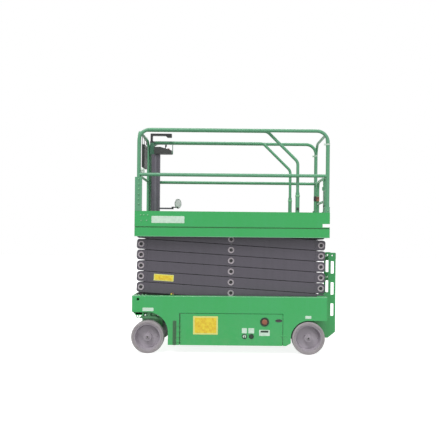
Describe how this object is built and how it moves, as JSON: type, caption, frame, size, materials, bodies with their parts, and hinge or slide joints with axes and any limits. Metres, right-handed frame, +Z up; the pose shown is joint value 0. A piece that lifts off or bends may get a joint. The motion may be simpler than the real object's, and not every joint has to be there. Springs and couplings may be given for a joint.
{
  "type": "scissor lift",
  "caption": "Self-propelled slab scissor lift with a folded stack of crossed arms, guard-railed platform with roll-out deck, steered front wheels, rear ladder and swing-out side trays.",
  "frame": {"origin": "on the floor under the middle of the machine", "axes": "+X towards the rear (ladder) end, -X towards the steered front, +Y towards the right side of a driver facing the front, +Z up"},
  "size_m": [2.431, 1.189, 2.7119],
  "materials": {
    "tyre": "matt non-marking rubber",
    "rim": "satin paint",
    "arm_grey": "satin paint",
    "rod": "polished",
    "green": "gloss paint",
    "battery": "matt",
    "grey_plastic": "matt",
    "dark_metal": "satin paint"
  },
  "bodies": {
    "chassis": {"chassis_frame": "green", "rear_ladder": "green", "rear_axle": "dark_metal"},
    "steer_left": {"steering_yoke_left": "green"},
    "steer_right": {"steering_yoke_right": "green"},
    "tie_rod": {"tie_rod": "dark_metal"},
    "wheel_front_left": {"tyre_front_left": "tyre", "rim_front_left": "rim"},
    "wheel_front_right": {"tyre_front_right": "tyre", "rim_front_right": "rim"},
    "wheel_rear_left": {"tyre_rear_left": "tyre", "rim_rear_left": "rim"},
    "wheel_rear_right": {"tyre_rear_right": "tyre", "rim_rear_right": "rim"},
    "tray_left": {"tray_door_left": "green", "tray_floor_left": "green", "battery_pack": "battery", "ground_controls": "grey_plastic"},
    "tray_right": {"tray_door_right": "green", "tray_floor_right": "green", "hydraulic_power_unit": "dark_metal"},
    "outer_1": {"outer_arms_1": "arm_grey"},
    "inner_1": {"inner_arms_1": "arm_grey"},
    "outer_2": {"outer_arms_2": "arm_grey"},
    "inner_2": {"inner_arms_2": "arm_grey"},
    "outer_3": {"outer_arms_3": "arm_grey"},
    "inner_3": {"inner_arms_3": "arm_grey"},
    "outer_4": {"outer_arms_4": "arm_grey"},
    "inner_4": {"inner_arms_4": "arm_grey"},
    "outer_5": {"outer_arms_5": "arm_grey"},
    "inner_5": {"inner_arms_5": "arm_grey"},
    "outer_6": {"outer_arms_6": "arm_grey"},
    "inner_6": {"inner_arms_6": "arm_grey"},
    "lift_barrel_1": {"lift_barrel_1": "dark_metal"},
    "lift_rod_1": {"lift_rod_1": "rod"},
    "lift_barrel_2": {"lift_barrel_2": "dark_metal"},
    "lift_rod_2": {"lift_rod_2": "rod"},
    "platform": {"platform_deck": "green", "guardrail_left": "green", "guardrail_right": "green", "rear_frame": "green"},
    "extension": {"extension_deck": "green", "extension_rails": "green", "controller_stand": "arm_grey", "controller_bracket": "green", "platform_controller": "grey_plastic", "controller_guard": "dark_metal", "document_box": "grey_plastic", "work_lamp": "grey_plastic"},
    "gate": {"entry_gate": "green"}
  },
  "joints": [
    {"name": "steering", "type": "hinge", "parent": "chassis", "child": "steer_left", "pos_m": [-1.025, -0.44, 0.4], "axis": [0, 0, 1], "range_deg": [-60, 60]},
    {"name": "steering_right", "type": "hinge", "parent": "chassis", "child": "steer_right", "pos_m": [-1.025, 0.44, 0.4], "axis": [0, 0, 1], "range_deg": [-60, 60]},
    {"name": "tie_rod_pivot", "type": "hinge", "parent": "steer_left", "child": "tie_rod", "pos_m": [-0.915, -0.44, 0.44], "axis": [0, 0, 1], "range_deg": [-60, 60]},
    {"name": "wheel_front_left_spin", "type": "hinge", "parent": "steer_left", "child": "wheel_front_left", "pos_m": [-1.025, -0.5215, 0.1905], "axis": [0, 1, 0], "continuous": true},
    {"name": "wheel_front_right_spin", "type": "hinge", "parent": "steer_right", "child": "wheel_front_right", "pos_m": [-1.025, 0.5215, 0.1905], "axis": [0, 1, 0], "continuous": true},
    {"name": "wheel_rear_left_spin", "type": "hinge", "parent": "chassis", "child": "wheel_rear_left", "pos_m": [0.845, -0.5215, 0.1905], "axis": [0, 1, 0], "continuous": true},
    {"name": "wheel_rear_right_spin", "type": "hinge", "parent": "chassis", "child": "wheel_rear_right", "pos_m": [0.845, 0.5215, 0.1905], "axis": [0, 1, 0], "continuous": true},
    {"name": "tray_left_swing", "type": "hinge", "parent": "chassis", "child": "tray_left", "pos_m": [-0.712, -0.5865, 0.15], "axis": [0, 0, -1], "range_deg": [0, 95]},
    {"name": "tray_right_swing", "type": "hinge", "parent": "chassis", "child": "tray_right", "pos_m": [-0.712, 0.5865, 0.15], "axis": [0, 0, 1], "range_deg": [0, 95]},
    {"name": "lift", "type": "hinge", "parent": "chassis", "child": "outer_1", "pos_m": [0.998, 0, 0.635], "axis": [0, 1, 0], "range_deg": [0, 58]},
    {"name": "inner_1_pivot", "type": "hinge", "parent": "outer_1", "child": "inner_1", "pos_m": [-0.0626, 0, 0.6985], "axis": [0, 1, 0], "range_deg": [-116, 0]},
    {"name": "outer_2_pivot", "type": "hinge", "parent": "inner_1", "child": "outer_2", "pos_m": [0.998, 0, 0.762], "axis": [0, 1, 0], "range_deg": [0, 116]},
    {"name": "inner_2_pivot", "type": "hinge", "parent": "outer_2", "child": "inner_2", "pos_m": [-0.0626, 0, 0.8255], "axis": [0, 1, 0], "range_deg": [-116, 0]},
    {"name": "outer_3_pivot", "type": "hinge", "parent": "inner_2", "child": "outer_3", "pos_m": [0.998, 0, 0.889], "axis": [0, 1, 0], "range_deg": [0, 116]},
    {"name": "inner_3_pivot", "type": "hinge", "parent": "outer_3", "child": "inner_3", "pos_m": [-0.0626, 0, 0.9525], "axis": [0, 1, 0], "range_deg": [-116, 0]},
    {"name": "outer_4_pivot", "type": "hinge", "parent": "inner_3", "child": "outer_4", "pos_m": [0.998, 0, 1.016], "axis": [0, 1, 0], "range_deg": [0, 116]},
    {"name": "inner_4_pivot", "type": "hinge", "parent": "outer_4", "child": "inner_4", "pos_m": [-0.0626, 0, 1.0795], "axis": [0, 1, 0], "range_deg": [-116, 0]},
    {"name": "outer_5_pivot", "type": "hinge", "parent": "inner_4", "child": "outer_5", "pos_m": [0.998, 0, 1.143], "axis": [0, 1, 0], "range_deg": [0, 116]},
    {"name": "inner_5_pivot", "type": "hinge", "parent": "outer_5", "child": "inner_5", "pos_m": [-0.0626, 0, 1.2065], "axis": [0, 1, 0], "range_deg": [-116, 0]},
    {"name": "outer_6_pivot", "type": "hinge", "parent": "inner_5", "child": "outer_6", "pos_m": [0.998, 0, 1.27], "axis": [0, 1, 0], "range_deg": [0, 116]},
    {"name": "inner_6_pivot", "type": "hinge", "parent": "outer_6", "child": "inner_6", "pos_m": [-0.0626, 0, 1.3335], "axis": [0, 1, 0], "range_deg": [-116, 0]},
    {"name": "platform_pivot", "type": "hinge", "parent": "inner_6", "child": "platform", "pos_m": [0.998, 0, 1.397], "axis": [0, 1, 0], "range_deg": [0, 58]},
    {"name": "lift_barrel_1_foot", "type": "hinge", "parent": "inner_2", "child": "lift_barrel_1", "pos_m": [-1.0109, 0, 0.76872], "axis": [0, 1, 0], "range_deg": [-10.7, 0]},
    {"name": "lift_rod_1_slide", "type": "slide", "parent": "lift_barrel_1", "child": "lift_rod_1", "axis": [0.9921, 0, 0.1258], "range_m": [0, 1.7399]},
    {"name": "lift_barrel_2_foot", "type": "hinge", "parent": "inner_4", "child": "lift_barrel_2", "pos_m": [-1.0109, 0, 1.02272], "axis": [0, 1, 0], "range_deg": [-10.7, 0]},
    {"name": "lift_rod_2_slide", "type": "slide", "parent": "lift_barrel_2", "child": "lift_rod_2", "axis": [0.9921, 0, 0.1258], "range_m": [0, 1.7399]},
    {"name": "extension_slide", "type": "slide", "parent": "platform", "child": "extension", "axis": [-1, 0, 0], "range_m": [0, 0.9]},
    {"name": "gate_swing", "type": "hinge", "parent": "platform", "child": "gate", "pos_m": [1.034, -0.305, 1.8], "axis": [0, 0, 1], "range_deg": [0, 90]}
  ],
  "couplings": [
    {"joint": "steering_right", "follows": "steering", "ratio": 1},
    {"joint": "tie_rod_pivot", "follows": "steering", "ratio": -1},
    {"joint": "inner_1_pivot", "follows": "lift", "ratio": -2},
    {"joint": "outer_2_pivot", "follows": "lift", "ratio": 2},
    {"joint": "inner_2_pivot", "follows": "lift", "ratio": -2},
    {"joint": "outer_3_pivot", "follows": "lift", "ratio": 2},
    {"joint": "inner_3_pivot", "follows": "lift", "ratio": -2},
    {"joint": "outer_4_pivot", "follows": "lift", "ratio": 2},
    {"joint": "inner_4_pivot", "follows": "lift", "ratio": -2},
    {"joint": "outer_5_pivot", "follows": "lift", "ratio": 2},
    {"joint": "inner_5_pivot", "follows": "lift", "ratio": -2},
    {"joint": "outer_6_pivot", "follows": "lift", "ratio": 2},
    {"joint": "inner_6_pivot", "follows": "lift", "ratio": -2},
    {"joint": "platform_pivot", "follows": "lift", "ratio": 1},
    {"joint": "lift_barrel_1_foot", "follows": "lift", "ratio": -0.17851},
    {"joint": "lift_rod_1_slide", "follows": "lift", "m_per_rad": 1.7168},
    {"joint": "lift_barrel_2_foot", "follows": "lift", "ratio": -0.17851},
    {"joint": "lift_rod_2_slide", "follows": "lift", "m_per_rad": 1.7168}
  ]
}
